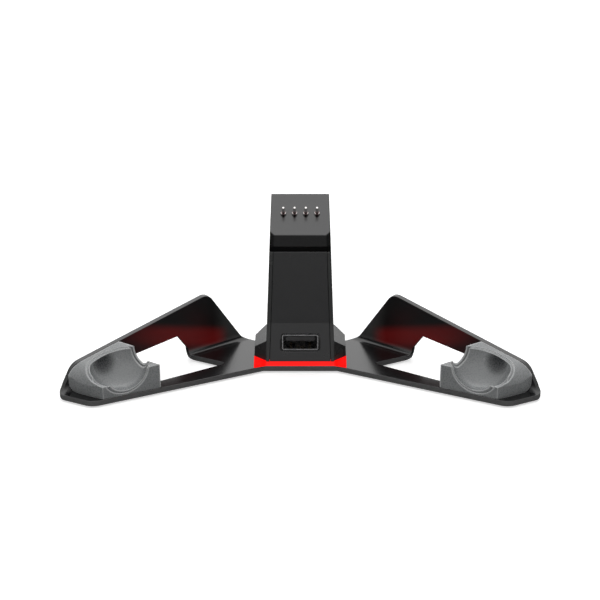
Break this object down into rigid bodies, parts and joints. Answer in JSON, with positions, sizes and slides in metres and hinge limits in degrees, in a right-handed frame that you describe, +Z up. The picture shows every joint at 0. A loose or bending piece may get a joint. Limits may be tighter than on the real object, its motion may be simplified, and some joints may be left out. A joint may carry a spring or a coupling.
{
  "type": "controller charging dock",
  "caption": "Charging dock for a game controller: swept tray with folded walls and soft grip cups, a tower with a port, a light strip and sprung contact pins.",
  "frame": {"origin": "centre of the overall box in plan, on the surface that the feet stand on", "axes": "+Z up, the front with the port faces -Y, +X to the viewer's right, across both arms"},
  "size_m": [0.1698, 0.0508, 0.062],
  "materials": {
    "tray_plastic": "satin black moulded plastic",
    "tower_plastic": "satin black moulded plastic",
    "panel_plastic": "smooth satin black plastic",
    "head_plastic": "satin black moulded plastic",
    "neck_plastic": "glossy black plastic",
    "cup_silicone": "translucent grey silicone",
    "light_red": "clear red, lit from behind",
    "pin_metal": "plated and polished",
    "spring_steel": "bright wire",
    "port_steel": "plated sheet steel",
    "insulator": "moulded black",
    "contact_gold": "gold plated",
    "board": "green solder mask",
    "chip": "moulded black",
    "capacitor": "ceramic tan",
    "lamp": "clear lens",
    "ribbon": "grey insulation",
    "screw_steel": "blackened steel",
    "foot_rubber": "soft black rubber"
  },
  "bodies": {
    "dock": {"base_frame": "tray_plastic", "grip_cup_left": "cup_silicone", "grip_cup_right": "cup_silicone", "tower_shell": "tower_plastic", "tower_front_panel": "panel_plastic", "light_guide": "light_red", "neck_band": "neck_plastic", "head_cap": "head_plastic", "contact_board": "board", "contact_socket": "ribbon", "contact_screws": "screw_steel", "ribbon_cable": "ribbon", "main_board": "board", "board_socket": "ribbon", "board_screws": "screw_steel", "charge_chip": "chip", "power_coil": "chip", "capacitors": "capacitor", "status_leds": "lamp", "usb_port_shell": "port_steel", "usb_port_tongue": "insulator", "usb_port_contacts": "contact_gold", "power_inlet_shell": "port_steel", "power_inlet_tongue": "insulator", "tower_screws": "screw_steel", "rubber_feet": "foot_rubber", "pin_barrel_1": "pin_metal", "pin_spring_1": "spring_steel", "pin_barrel_2": "pin_metal", "pin_spring_2": "spring_steel", "pin_barrel_3": "pin_metal", "pin_spring_3": "spring_steel", "pin_barrel_4": "pin_metal", "pin_spring_4": "spring_steel"},
    "pin_1": {"pin_plunger_1": "pin_metal"},
    "pin_2": {"pin_plunger_2": "pin_metal"},
    "pin_3": {"pin_plunger_3": "pin_metal"},
    "pin_4": {"pin_plunger_4": "pin_metal"}
  },
  "joints": [
    {"name": "pin_1_press", "type": "slide", "parent": "dock", "child": "pin_1", "axis": [0, 0.5053, -0.863], "range_m": [0, 0.0012], "stiffness_N_per_m": 400, "springref_m": -0.0005, "deforming": ["pin_spring_1"]},
    {"name": "pin_2_press", "type": "slide", "parent": "dock", "child": "pin_2", "axis": [0, 0.5053, -0.863], "range_m": [0, 0.0012], "stiffness_N_per_m": 400, "springref_m": -0.0005, "deforming": ["pin_spring_2"]},
    {"name": "pin_3_press", "type": "slide", "parent": "dock", "child": "pin_3", "axis": [0, 0.5053, -0.863], "range_m": [0, 0.0012], "stiffness_N_per_m": 400, "springref_m": -0.0005, "deforming": ["pin_spring_3"]},
    {"name": "pin_4_press", "type": "slide", "parent": "dock", "child": "pin_4", "axis": [0, 0.5053, -0.863], "range_m": [0, 0.0012], "stiffness_N_per_m": 400, "springref_m": -0.0005, "deforming": ["pin_spring_4"]}
  ]
}
